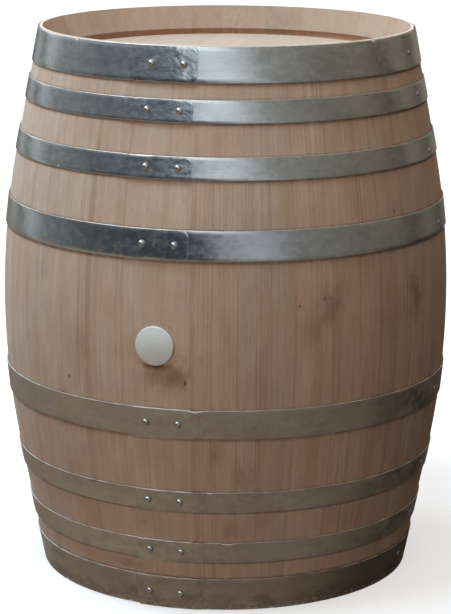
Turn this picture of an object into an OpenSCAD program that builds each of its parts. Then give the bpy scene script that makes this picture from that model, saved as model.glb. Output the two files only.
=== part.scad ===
// Oak wine barrel of about 228 litres, standing on its lower chime.
// The origin is the centre of the lower chime plane. +Z runs up the barrel's axis and the bung faces -Y.
// Azimuths are in degrees from the bung's direction (-Y), positive towards +X.

/* [Barrel] */
// Height over both chimes
barrel_h = 878; // [870:1:890]
// Outer diameter of the wood at the bilge, the widest place
bilge_d = 720; // [712:1:728]
// Outer diameter of the wood at each end
end_d = 596; // [590:1:602]
// Taper of the straight ends of the staves against the axis, in degrees
end_taper = 11.2; // [10.8:0.1:11.6]

/* [Staves] */
// Thickness of the staves
stave_t = 27; // [25:0.5:28]
// Gap left in each joint between two staves
stave_gap = 0.25; // [0.2:0.05:0.6]
// Width of the flat rim at the end of the staves
chime_flat = 4.5; // [3:0.5:6]
// Depth of the bevelled inner rim, from the chime down to the croze
bevel_depth = 38; // [36:0.5:40]

/* [Heads] */
// Depth of each head's outer face below the chime
head_depth = 45; // [44:0.5:47]
// Thickness of the head boards
head_t = 24; // [22:0.5:26]
// Thickness of the head's tongue, which sits in the croze
tongue_t = 6; // [5:0.25:7]
// How far the croze is cut past the inner surface of the staves
croze_cut = 8; // [6:0.5:9]
// Angle of the head boards against the bung's direction, in degrees
head_turn = 7; // [0:1:20]
// Gap between two head boards, which the reed fills
board_gap = 0.6; // [0.5:0.1:1]
// Diameter of the head dowels
dowel_d = 8; // [6:0.5:9]
// Length of the head dowels
dowel_l = 40; // [30:1:44]

/* [Hoops] */
// Thickness of the hoop steel
hoop_t = 1.8; // [1.5:0.1:2]
// Width of the two head hoops
head_hoop_w = 54.5; // [52:0.5:55]
// Width of the four quarter hoops
quarter_hoop_w = 35; // [32:0.5:38]
// Width of the two bilge hoops
bilge_hoop_w = 46.5; // [42:0.5:50]
// Distance from the top chime to the middle of the top head hoop
top_head_at = 27.5; // [27:0.5:29]
// Distance from the top chime to the middle of the first quarter hoop
top_outer_quarter_at = 95; // [88:0.5:104]
// Distance from the top chime to the middle of the second quarter hoop
top_inner_quarter_at = 177.5; // [160:0.5:198]
// Distance from the top chime to the middle of the upper bilge hoop
top_bilge_at = 290; // [270:0.5:308]
// Distance from the bottom chime to the middle of the bottom head hoop
low_head_at = 28; // [28:0.5:30]
// Distance from the bottom chime to the middle of the first quarter hoop
low_outer_quarter_at = 101; // [92:0.5:110]
// Distance from the bottom chime to the middle of the second quarter hoop
low_inner_quarter_at = 187; // [170:0.5:205]
// Distance from the bottom chime to the middle of the lower bilge hoop
low_bilge_at = 315; // [290:0.5:325]

/* [Rivets and nails] */
// Distance between the two rivets of a hoop's lap
rivet_pitch = 50; // [44:1:56]
// Diameter of a rivet's domed head
rivet_head_d = 11.5; // [10:0.25:13]
// Height of a rivet's domed head
rivet_head_h = 4.8; // [3.5:0.1:5.2]
// Diameter of a rivet's shank
rivet_d = 5; // [4:0.25:6]
// Distance from the outer rivet to the visible end of the lap
lap_tail = 20; // [16:1:24]
// Radius of the rounded corners at the visible end of the lap
lap_corner = 9; // [5:0.5:12]
// Diameter of a hoop nail's head
nail_head_d = 7.5; // [6:0.25:9]
// Diameter of a hoop nail's shank
nail_d = 2.4; // [2:0.1:3]
// Length of a hoop nail in the wood
nail_l = 18; // [14:1:20]

/* [Bung] */
// Height of the bung above the bottom chime
bung_z = 435; // [425:1:450]
// Diameter of the bung's cap
bung_cap_d = 60.5; // [57:0.5:63]
// Height of the bung's cap above the stave
bung_cap_h = 8.5; // [7:0.25:9.5]
// Diameter of the bung hole at the outside of the stave
bung_hole_d = 52; // [50:0.5:53]
// Diameter of the bung hole at the inside of the stave
bung_hole_inner_d = 48; // [44:0.5:49]
// Length of the bung's plug below the cap
plug_l = 37; // [32:0.5:45]

/* [Hidden] */

half_h = barrel_h / 2;
bilge_r = bilge_d / 2;
end_r = end_d / 2;
// Inside this radius nothing of the staves is drawn
core_r = 200;

// The outline is an arc about the bilge that runs tangent into the straight tapered ends
bow_h = (half_h * tan(end_taper) - (bilge_r - end_r)) / (tan(end_taper) - tan(end_taper / 2));
arc_r = bow_h / sin(end_taper);

function outer_r(z) =
    let (s = abs(z - half_h))
    s < bow_h
        ? bilge_r - arc_r + sqrt(arc_r * arc_r - s * s)
        : end_r + (half_h - s) * tan(end_taper);

function lean(z) =
    abs(z - half_h) < bow_h
        ? asin((z - half_h) / arc_r)
        : sign(z - half_h) * end_taper;

// Widths of the staves at the bilge, from the bung stave round towards +X, scaled to close the ring
stave_widths = [
    108, 71, 91, 63, 78, 75, 80, 76, 90, 66, 82, 95, 70, 86,
    78, 92, 68, 88, 74, 96, 80, 85, 86, 93, 93, 70, 75, 53
];
stave_count = len(stave_widths);

function width_before(k) = k == 0 ? 0 : width_before(k - 1) + stave_widths[k - 1];

degrees_per_width = 360 / width_before(stave_count);

function stave_start(k) = (width_before(k) - stave_widths[0] / 2) * degrees_per_width;

// Rim and croze, as depths from the chime
inner_at_bevel = end_r + bevel_depth * tan(end_taper) - stave_t / cos(end_taper);
shoulder_r = inner_at_bevel + 4.5;
croze_r = inner_at_bevel + 2 + croze_cut;
tongue_clear = 0.1;
tongue_r = croze_r - 0.3;
tongue_depth = head_depth + 3;
head_flat_r = shoulder_r - 20;
head_inner_flat_r = shoulder_r - 26;

// Lines between the head boards, across the boards
board_lines = [-300, -212, -141, -67, 7, 80, 152, 218, 300];
board_count = len(board_lines) - 1;
dowel_depth = head_depth + head_t / 2;
dowel_clear = 0.1;
reed_t = 0.4;
reed_w = 5;
reed_depth = head_depth + head_t - reed_w - 1;
reed_r = head_inner_flat_r;

// Hoops from the top down: middle height, width, side of the visible lap end (1 is +X), lap azimuth,
// turn of the nails, and how far the nails are above the hoop's middle
hoops = [
    [barrel_h - top_head_at, head_hoop_w, 1, 0.5, -3, -3],
    [barrel_h - top_outer_quarter_at, quarter_hoop_w, 1, 0, -1, 0],
    [barrel_h - top_inner_quarter_at, quarter_hoop_w, 1, 0.5, 1, -7],
    [barrel_h - top_bilge_at, bilge_hoop_w, 1, 0.5, 1, -7],
    [low_bilge_at, bilge_hoop_w, -1, 1.5, 0, -3],
    [low_inner_quarter_at, quarter_hoop_w, -1, 1, 0, 0],
    [low_outer_quarter_at, quarter_hoop_w, -1, 0.5, 0, 0],
    [low_head_at, head_hoop_w, -1, -0.5, -3, 5]
];
hoop_clear = 0.1;
lap_gap = 0.1;
layer_step = hoop_t + lap_gap;
// Half length of the lap's hidden end and of the flat part of its upper layer
hidden_end = rivet_pitch / 2 + 18;
lap_flat = hidden_end + 5;
// Turn of the ramp that lifts the hoop on to its lap, about the ramp's own centre
ramp_turn = 3.5;
// The ramp is a little thinner than the hoop, and its ends run this much further into both layers
ramp_thin = 0.15;
ramp_root = 0.5;
ramp_tip = 0.1;
// The rounding of a lap's corners stands out this far, so that it meets the hoop's edges at an angle
corner_over = 0.4;

nail_azimuths = [87, 180, 267];
nail_clear = 0.1;
rivet_clear = 0.06;
rivet_sink = 1.5;
head_lift = 0.05;

// The bung stands off the stave and the hole by these gaps
bung_lift = 0.15;
plug_clear = 0.08;
bung_taper = (bung_hole_d - bung_hole_inner_d) / 2 / stave_t;
bung_core_d = 22;
bung_core_l = 24;
cap_edge_r = 2.2;

oak = [0.72, 0.58, 0.46];
oak_head = [0.86, 0.78, 0.7];
oak_dowel = [0.78, 0.66, 0.5];
reed_green = [0.66, 0.62, 0.42];
zinc = [0.55, 0.58, 0.62];
rivet_steel = [0.68, 0.7, 0.72];
nail_steel = [0.4, 0.4, 0.4];
silicone = [0.88, 0.9, 0.88];

$fn = 96;

// ---------------------------------------------------------------- staves

// Half of the barrel's outline, moved in from the outer surface
module body_2d(inset) {
    turn_r = bilge_r - arc_r + (arc_r - inset) * cos(end_taper);
    turn_h = (arc_r - inset) * sin(end_taper);
    edge_r = end_r - inset / cos(end_taper);
    intersection() {
        translate([core_r, 0]) square([bilge_r - core_r + 10, barrel_h]);
        union() {
            translate([bilge_r - arc_r, half_h]) circle(r = arc_r - inset, $fn = 1080);
            polygon([
                [core_r, 0],
                [edge_r, 0],
                [turn_r, half_h - turn_h],
                [turn_r, half_h + turn_h],
                [edge_r, barrel_h],
                [core_r, barrel_h]
            ]);
        }
    }
}

// What the cooper cuts away inside one end: the bevelled rim, the shoulder and the croze
module end_cut_2d() {
    polygon([
        [core_r, -1],
        [end_r - chime_flat, -1],
        [end_r - chime_flat, 0],
        [inner_at_bevel, bevel_depth],
        [shoulder_r, bevel_depth],
        [shoulder_r, tongue_depth - tongue_clear],
        [croze_r, tongue_depth - tongue_clear],
        [croze_r, tongue_depth + tongue_t + tongue_clear],
        [core_r, tongue_depth + tongue_t + tongue_clear]
    ]);
}

module stave_2d() {
    difference() {
        body_2d(0);
        body_2d(stave_t);
        end_cut_2d();
        translate([0, barrel_h]) mirror([0, 1]) end_cut_2d();
    }
}

module stave_blank(k) {
    half_gap = stave_gap / 2 / bilge_r * 180 / PI;
    rotate_extrude(
        angle = stave_widths[k] * degrees_per_width - 2 * half_gap,
        start = stave_start(k) + half_gap - 90,
        $fn = 180
    ) stave_2d();
}

// Puts a fastener's frame on the wood under hoop i: Z outwards, Y up along the hoop, X round the barrel
module on_hoop(i, azimuth) {
    z = hoops[i][0];
    rotate([0, 0, azimuth])
        translate([0, -outer_r(z), z])
            rotate([90 - lean(z), 0, 0])
                children();
}

function nail_shift(i) = hoops[i][5];

module stave(k) {
    from = stave_start(k);
    to = from + stave_widths[k] * degrees_per_width;
    color(oak) difference() {
        stave_blank(k);
        for (i = [0 : len(hoops) - 1], a = nail_azimuths) {
            azimuth = a + hoops[i][4];
            if (azimuth > from && azimuth < to) {
                on_hoop(i, azimuth)
                    translate([0, nail_shift(i), -nail_l - 0.5])
                        cylinder(d = nail_d + 2 * nail_clear, h = nail_l + 3);
            }
        }
    }
}

// Frame of the bung: Z outwards, zero at the stave's outer surface
module at_bung() {
    translate([0, -bilge_r, bung_z]) rotate([90, 0, 0]) children();
}

module bung_stave() {
    below = stave_t + 4;
    above = 2;
    color(oak) difference() {
        stave_blank(0);
        at_bung()
            translate([0, 0, -below])
                cylinder(
                    r1 = bung_hole_d / 2 - below * bung_taper,
                    r2 = bung_hole_d / 2 + above * bung_taper,
                    h = below + above
                );
    }
}

// ---------------------------------------------------------------- heads

// Places a head that is drawn with its depth along +Z at the top or the bottom end
module at_end(top) {
    if (top) {
        translate([0, 0, barrel_h]) mirror([0, 0, 1]) children();
    } else {
        children();
    }
}

module head_disc() {
    rotate_extrude($fn = 180) polygon([
        [0, head_depth],
        [head_flat_r, head_depth],
        [shoulder_r - 1.5, tongue_depth],
        [tongue_r, tongue_depth],
        [tongue_r, tongue_depth + tongue_t],
        [inner_at_bevel - 0.5, tongue_depth + tongue_t],
        [head_inner_flat_r, head_depth + head_t],
        [0, head_depth + head_t]
    ]);
}

// Two dowels in each joint, at equal shares of its length
function dowel_places(line) = [for (side = [-1, 1]) side * 0.5 * sqrt(head_flat_r * head_flat_r - line * line)];

module dowel_row(line, d, l) {
    for (v = dowel_places(line)) {
        translate([line - l / 2, v, dowel_depth]) rotate([0, 90, 0]) cylinder(d = d, h = l);
    }
}

module head_board(top, n) {
    from = board_lines[n - 1] + board_gap / 2;
    to = board_lines[n] - board_gap / 2;
    inner_lines = [for (j = [n - 1, n]) if (j > 0 && j < board_count) board_lines[j]];
    color(oak_head) at_end(top) rotate([0, 0, head_turn]) difference() {
        intersection() {
            head_disc();
            translate([from, -320, 0]) cube([to - from, 640, head_depth + head_t + 10]);
        }
        for (line = inner_lines) {
            dowel_row(line, dowel_d + 2 * dowel_clear, dowel_l + 1);
        }
    }
}

module head_dowels(top) {
    color(oak_dowel) at_end(top) rotate([0, 0, head_turn]) for (j = [1 : board_count - 1]) {
        dowel_row(board_lines[j], dowel_d, dowel_l);
    }
}

// A flat strip of reed seals each joint between the head boards
module head_reeds(top) {
    color(reed_green) at_end(top) rotate([0, 0, head_turn]) for (j = [1 : board_count - 1]) {
        line = board_lines[j];
        reach = sqrt(reed_r * reed_r - line * line) - 2;
        translate([line - reed_t / 2, -reach, reed_depth]) cube([reed_t, 2 * reach, reed_w]);
    }
}

// ---------------------------------------------------------------- hoops

// Section of a hoop, standing off its place on the staves by some distance and thinned all round by thin
module strip_2d(i, off, thin = 0) {
    z = hoops[i][0];
    w = hoops[i][1];
    translate([outer_r(z), z]) rotate(lean(z))
        translate([hoop_clear + off + thin, thin - w / 2])
            square([hoop_t - 2 * thin, w - 2 * thin]);
}

// What is cut off both corners of a lap
module lap_corners(i) {
    from_edge = lap_corner - corner_over;
    for (side = [0, 1]) {
        mirror([0, side, 0]) translate([-from_edge, hoops[i][1] / 2 - from_edge, -1]) difference() {
            cube([lap_corner + 3, lap_corner + 3, 8]);
            translate([0, 0, -1]) cylinder(r = lap_corner, h = 10);
        }
    }
}

// A hoop whose visible lap end points towards +X: ring, ramp and upper layer of one strip
module right_hand_hoop(i) {
    r0 = outer_r(hoops[i][0]) + hoop_clear;
    per_mm = 180 / PI / r0;
    c = 1 - cos(ramp_turn);
    rise = 2 * r0 * layer_step + layer_step * layer_step;
    // The ramp is an arc about its own centre, moved off the axis by shift
    shift = (sqrt(4 * c * c * r0 * r0 + 8 * c * rise) - 2 * c * r0) / (4 * c);
    ramp_span = atan2((r0 + shift) * sin(ramp_turn), (r0 + shift) * cos(ramp_turn) - shift);
    ramp_from = -lap_flat * per_mm - ramp_span;
    hidden_at = -hidden_end * per_mm;
    lap_end = (rivet_pitch / 2 + lap_tail) * per_mm;
    union() {
        rotate_extrude(angle = 360 + ramp_from - hidden_at, start = hidden_at - 90, $fn = 360)
            strip_2d(i, 0);
        rotate([0, 0, ramp_from - 90]) translate([-shift, 0, 0])
            rotate_extrude(angle = ramp_turn + ramp_root + ramp_tip, start = -ramp_root, $fn = 720)
                translate([shift, 0]) strip_2d(i, 0, ramp_thin);
        difference() {
            rotate_extrude(angle = lap_end + lap_flat * per_mm, start = -lap_flat * per_mm - 90, $fn = 360)
                strip_2d(i, layer_step);
            on_hoop(i, lap_end) lap_corners(i);
        }
    }
}

module hoop(i) {
    side = hoops[i][2];
    turn = hoops[i][3];
    color(zinc) difference() {
        rotate([0, 0, turn]) mirror([side < 0 ? 1 : 0, 0, 0]) right_hand_hoop(i);
        for (s = [-1, 1]) {
            on_hoop(i, turn + rivet_azimuth(i, s)) rivet_bore();
        }
        for (a = nail_azimuths) {
            on_hoop(i, a + hoops[i][4])
                translate([0, nail_shift(i), -1])
                    cylinder(d = nail_d + 2 * nail_clear, h = 6);
        }
    }
}

// ---------------------------------------------------------------- rivets and nails

function rivet_azimuth(i, side) = side * rivet_pitch / 2 / outer_r(hoops[i][0]) * 180 / PI;

// Straight bore with a countersink on the wood's side
module rivet_bore() {
    r = rivet_d / 2 + rivet_clear;
    cylinder(r = r, h = 8);
    cylinder(r1 = r + rivet_sink, r2 = r, h = hoop_clear + rivet_sink);
}

// A low dome of diameter d and height h on the XY plane, with a short upright rim
module dome(d, h) {
    rim = h * 0.18;
    rise = h - rim;
    ball_r = (d * d / 4 + rise * rise) / (2 * rise);
    rotate_extrude($fn = 48) {
        square([d / 2, rim]);
        intersection() {
            translate([0, rim]) square([d / 2, rise]);
            translate([0, h - ball_r]) circle(r = ball_r, $fn = 180);
        }
    }
}

module rivet() {
    top = hoop_clear + hoop_t + layer_step + head_lift;
    bottom = hoop_clear + 0.05;
    foot_r = rivet_d / 2 + rivet_sink - 0.2;
    translate([0, 0, bottom]) cylinder(d = rivet_d, h = top - bottom + 0.3);
    translate([0, 0, bottom]) cylinder(r1 = foot_r, r2 = rivet_d / 2, h = rivet_sink - 0.05);
    translate([0, 0, top]) dome(rivet_head_d, rivet_head_h);
}

module hoop_rivets() {
    color(rivet_steel) for (i = [0 : len(hoops) - 1], s = [-1, 1]) {
        on_hoop(i, hoops[i][3] + rivet_azimuth(i, s)) rivet();
    }
}

module nail() {
    top = hoop_clear + hoop_t + head_lift;
    tip = 4;
    translate([0, 0, tip - nail_l]) cylinder(d = nail_d, h = top - tip + nail_l + 0.2);
    translate([0, 0, -nail_l]) cylinder(d1 = 0.4, d2 = nail_d, h = tip);
    translate([0, 0, top]) dome(nail_head_d, 1.8);
}

module hoop_nails() {
    color(nail_steel) for (i = [0 : len(hoops) - 1], a = nail_azimuths) {
        on_hoop(i, a + hoops[i][4]) translate([0, nail_shift(i), 0]) nail();
    }
}

// ---------------------------------------------------------------- bung

module bung() {
    cap_r = bung_cap_d / 2;
    flat_r = cap_r - cap_edge_r;
    edge_top = bung_lift + 2 * cap_edge_r;
    rise = bung_cap_h - edge_top;
    dome_r = (flat_r * flat_r + rise * rise) / (2 * rise);
    tip_round = 2;
    plug_r = bung_hole_d / 2 - plug_clear;
    tip_r = plug_r - plug_l * bung_taper;
    color(silicone) at_bung() difference() {
        rotate_extrude() {
            // plug
            polygon([
                [0, -plug_l],
                [tip_r - tip_round, -plug_l],
                [tip_r + tip_round * bung_taper, tip_round - plug_l],
                [plug_r, 0],
                [plug_r, bung_lift + 1],
                [0, bung_lift + 1]
            ]);
            // cap with a rounded edge and a domed top
            translate([flat_r, bung_lift + cap_edge_r]) circle(r = cap_edge_r, $fn = 48);
            intersection() {
                translate([0, bung_lift]) square([flat_r, bung_cap_h]);
                translate([0, bung_cap_h - dome_r]) circle(r = dome_r, $fn = 720);
            }
        }
        translate([0, 0, -plug_l - 1]) cylinder(d = bung_core_d, h = bung_core_l + 1);
    }
}

// ---------------------------------------------------------------- nodes

bung_stave();
stave(1);  // stave_02
stave(2);  // stave_03
stave(3);  // stave_04
stave(4);  // stave_05
stave(5);  // stave_06
stave(6);  // stave_07
stave(7);  // stave_08
stave(8);  // stave_09
stave(9);  // stave_10
stave(10);  // stave_11
stave(11);  // stave_12
stave(12);  // stave_13
stave(13);  // stave_14
stave(14);  // stave_15
stave(15);  // stave_16
stave(16);  // stave_17
stave(17);  // stave_18
stave(18);  // stave_19
stave(19);  // stave_20
stave(20);  // stave_21
stave(21);  // stave_22
stave(22);  // stave_23
stave(23);  // stave_24
stave(24);  // stave_25
stave(25);  // stave_26
stave(26);  // stave_27
stave(27);  // stave_28
head_board(true, 1);  // top_head_board_1
head_board(true, 2);  // top_head_board_2
head_board(true, 3);  // top_head_board_3
head_board(true, 4);  // top_head_board_4
head_board(true, 5);  // top_head_board_5
head_board(true, 6);  // top_head_board_6
head_board(true, 7);  // top_head_board_7
head_board(true, 8);  // top_head_board_8
head_board(false, 1);  // bottom_head_board_1
head_board(false, 2);  // bottom_head_board_2
head_board(false, 3);  // bottom_head_board_3
head_board(false, 4);  // bottom_head_board_4
head_board(false, 5);  // bottom_head_board_5
head_board(false, 6);  // bottom_head_board_6
head_board(false, 7);  // bottom_head_board_7
head_board(false, 8);  // bottom_head_board_8
head_dowels(true);  // top_head_dowels
head_dowels(false);  // bottom_head_dowels
head_reeds(true);  // top_head_reeds
head_reeds(false);  // bottom_head_reeds
hoop(0);  // top_head_hoop
hoop(1);  // top_outer_quarter_hoop
hoop(2);  // top_inner_quarter_hoop
hoop(3);  // top_bilge_hoop
hoop(4);  // bottom_bilge_hoop
hoop(5);  // bottom_inner_quarter_hoop
hoop(6);  // bottom_outer_quarter_hoop
hoop(7);  // bottom_head_hoop
hoop_rivets();
hoop_nails();
bung();
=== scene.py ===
"""Looks of the oak wine barrel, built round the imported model.

Lengths are in metres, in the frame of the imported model: +Z runs up the barrel's axis and the bung faces -Y.
Azimuths are in degrees from the bung's direction (-Y), positive towards +X.
"""

import math

import bmesh
import bpy
import numpy as np
from mathutils import Matrix, Vector


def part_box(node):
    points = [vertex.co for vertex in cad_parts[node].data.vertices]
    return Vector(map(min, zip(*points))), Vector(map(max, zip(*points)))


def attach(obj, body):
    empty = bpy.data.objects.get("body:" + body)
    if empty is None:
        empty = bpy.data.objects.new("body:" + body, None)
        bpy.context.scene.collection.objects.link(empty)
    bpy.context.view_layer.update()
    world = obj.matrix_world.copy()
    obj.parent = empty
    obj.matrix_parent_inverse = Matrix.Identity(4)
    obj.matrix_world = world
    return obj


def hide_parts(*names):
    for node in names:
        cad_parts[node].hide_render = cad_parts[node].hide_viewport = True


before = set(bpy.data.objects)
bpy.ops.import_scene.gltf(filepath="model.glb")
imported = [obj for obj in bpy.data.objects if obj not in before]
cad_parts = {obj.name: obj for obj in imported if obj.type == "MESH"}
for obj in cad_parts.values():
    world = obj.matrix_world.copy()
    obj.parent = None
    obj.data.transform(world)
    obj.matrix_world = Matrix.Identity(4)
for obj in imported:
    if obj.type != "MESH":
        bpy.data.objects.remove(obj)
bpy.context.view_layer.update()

# ---- sizes

BARREL = "barrel"
BUNG = "bung"
STAVES = ["bung_stave"] + [f"stave_{k:02d}" for k in range(2, 29)]
UPPER_HOOPS = ["top_head_hoop", "top_outer_quarter_hoop", "top_inner_quarter_hoop", "top_bilge_hoop"]
LOWER_HOOPS = [name.replace("top", "bottom") for name in reversed(UPPER_HOOPS)]
HOOPS = UPPER_HOOPS + LOWER_HOOPS

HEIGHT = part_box("stave_02")[1].z
MIDDLE = HEIGHT / 2
BUNG_Z = sum(corner.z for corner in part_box("bung")) / 2
END_TAPER = math.radians(11.2)
STAVE_T = 0.027

# The end of a stave, as depths below the chime and radii
CHIME_FLAT = 0.0045
BEVEL_DEPTH = 0.038
CROZE_FROM = 0.0479
CROZE_TO = 0.0541
HEAD_DEPTH = 0.045
HEAD_T = 0.024
TONGUE_FROM = 0.048
TONGUE_TO = 0.054
HEAD_TURN = 7

# Staves and head boards swell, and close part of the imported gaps
STAVE_SWELLING = 0.00009
BOARD_SWELLING = 0.00018

# The hole for the bung, at the outside and at the inside
BUNG_HOLE_R = 0.026
BUNG_HOLE_INNER_R = 0.024

# A hoop's steel, its gap to the wood, the step up to its lap and lengths along the lap
HOOP_T = 0.0018
HOOP_CLEAR = 0.0001
LAYER_STEP = 0.0019
LAP_TAIL = 0.020
HIDDEN_END = 0.043
LAP_FLAT = 0.048
RAMP_L = 0.020


def mesh_points(mesh):
    flat = np.empty(len(mesh.vertices) * 3, np.float32)
    mesh.vertices.foreach_get("co", flat)
    return flat.reshape(-1, 3).astype(float)


def points_of(node):
    """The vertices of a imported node."""
    return mesh_points(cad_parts[node].data)


def azimuth_of(points):
    return np.degrees(np.arctan2(points[..., 0], -points[..., 1]))


def radius_of(points):
    return np.hypot(points[..., 0], points[..., 1])


ALL_STAVE_POINTS = np.concatenate([points_of(name) for name in STAVES])
BILGE_R = radius_of(ALL_STAVE_POINTS).max()
END_R = radius_of(ALL_STAVE_POINTS[ALL_STAVE_POINTS[:, 2] < 0.0005]).max()

# The outline is an arc about the bilge that runs tangent into straight tapered ends
BOW_H = (MIDDLE * math.tan(END_TAPER) - (BILGE_R - END_R)) / (math.tan(END_TAPER) - math.tan(END_TAPER / 2))
ARC_R = BOW_H / math.sin(END_TAPER)

INNER_AT_BEVEL = END_R + BEVEL_DEPTH * math.tan(END_TAPER) - STAVE_T / math.cos(END_TAPER)
SHOULDER_R = INNER_AT_BEVEL + 0.0045
CROZE_R = INNER_AT_BEVEL + 0.010
TONGUE_R = CROZE_R - 0.0003
HEAD_FLAT_R = SHOULDER_R - 0.020
HEAD_INNER_FLAT_R = SHOULDER_R - 0.026


def surface_r(z, inset=0.0):
    """Radius of the staves at height z, inset from their outer surface."""
    off_middle = np.abs(np.asarray(z, float) - MIDDLE)
    arc = ARC_R - inset
    on_arc = BILGE_R - ARC_R + np.sqrt(np.maximum(arc * arc - off_middle**2, 0))
    on_end = END_R - inset / math.cos(END_TAPER) + (MIDDLE - off_middle) * math.tan(END_TAPER)
    return np.where(off_middle < arc * math.sin(END_TAPER), on_arc, on_end)


def lean(z):
    """Angle in radians by which the staves lean in at height z, negative in the lower half."""
    if abs(z - MIDDLE) < BOW_H:
        return math.asin((z - MIDDLE) / ARC_R)
    return math.copysign(END_TAPER, z - MIDDLE)


def round_barrel(azimuth, radius, z):
    """Points at an azimuth, a distance from the axis and a height."""
    a = np.radians(azimuth)
    return np.stack(np.broadcast_arrays(radius * np.sin(a), -radius * np.cos(a), z), -1)


def at_bung(points):
    """Points of a shape turned about Z, moved so that its axis runs out through the bung hole."""
    return np.stack([points[:, 0], -BILGE_R - points[:, 2], BUNG_Z + points[:, 1]], -1)


# ---- meshes


def add_object(name, data):
    made = bpy.data.objects.new(name, data)
    bpy.context.scene.collection.objects.link(made)
    return made


def stand_in(piece, node, body=BARREL):
    """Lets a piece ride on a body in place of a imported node."""
    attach(piece, body)
    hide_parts(node)


def new_piece(name, points, faces, materials, face_slots=None, sharp_above=32):
    """A mesh object with smooth shading, apart from edges sharper than sharp_above degrees."""
    mesh = bpy.data.meshes.new(name)
    mesh.from_pydata([tuple(p) for p in points], [], [tuple(int(i) for i in f) for f in faces])
    for material in materials:
        mesh.materials.append(material)
    if face_slots is not None:
        mesh.polygons.foreach_set("material_index", np.asarray(face_slots, np.int32))
    outward(mesh)
    soften(mesh, sharp_above)
    return add_object(name, mesh)


def outward(mesh):
    bm = bmesh.new()
    bm.from_mesh(mesh)
    bmesh.ops.recalc_face_normals(bm, faces=bm.faces)
    bm.to_mesh(mesh)
    bm.free()


def soften(mesh, sharp_above):
    mesh.polygons.foreach_set("use_smooth", np.ones(len(mesh.polygons), bool))
    mesh.set_sharp_from_angle(angle=math.radians(sharp_above))


def set_attributes(mesh, **attributes):
    """Gives every point a number or a vector under each name."""
    for name, values in attributes.items():
        values = np.asarray(values, np.float32)
        kind, field = ("FLOAT_VECTOR", "vector") if values.ndim == 2 else ("FLOAT", "value")
        mesh.attributes.new(name, kind, "POINT").data.foreach_set(field, values.ravel())


def grid_faces(rows, columns, first=0):
    """Quads of a grid whose point (row, column) has the number first + row * columns + column."""
    faces = []
    for i in range(rows - 1):
        below = first + i * columns
        above = below + columns
        for j in range(columns - 1):
            faces.append((below + j, below + j + 1, above + j + 1, above + j))
    return faces


def tube_faces(rows, around):
    """Quads between the closed rows of a tube's points, and a face over each end."""
    faces = []
    for i in range(rows - 1):
        for j in range(around):
            k = (j + 1) % around
            faces.append((i * around + j, i * around + k, (i + 1) * around + k, (i + 1) * around + j))
    last = (rows - 1) * around
    return faces + [tuple(range(around)), tuple(range(last, last + around))]


def lathe(outline, turns):
    """Points and faces of a turned solid. The outline's points are (radius, height), from axis to axis."""
    angles = np.arange(turns) * 2 * math.pi / turns
    r, h = np.array(outline).T[:, :, None]
    points = np.stack([r * np.cos(angles), r * np.sin(angles), h + 0 * angles], -1)
    return points.reshape(-1, 3), tube_faces(len(outline), turns)


class Waves:
    """Smooth seeded unevenness over (across, along): a mean of sine waves."""

    def __init__(self, rng, across, along, height):
        count = 7
        self.height = height
        self.turns = rng.normal(0, 1, (count, 2)) * 2 * math.pi / np.array([across, along])
        self.phases = rng.uniform(0, 2 * math.pi, count)

    def __call__(self, u, v):
        total = 0
        for (ku, kv), phase in zip(self.turns, self.phases):
            total = total + np.sin(ku * u + kv * v + phase)
        return self.height * total / len(self.phases)


# ---- shader writing


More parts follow.
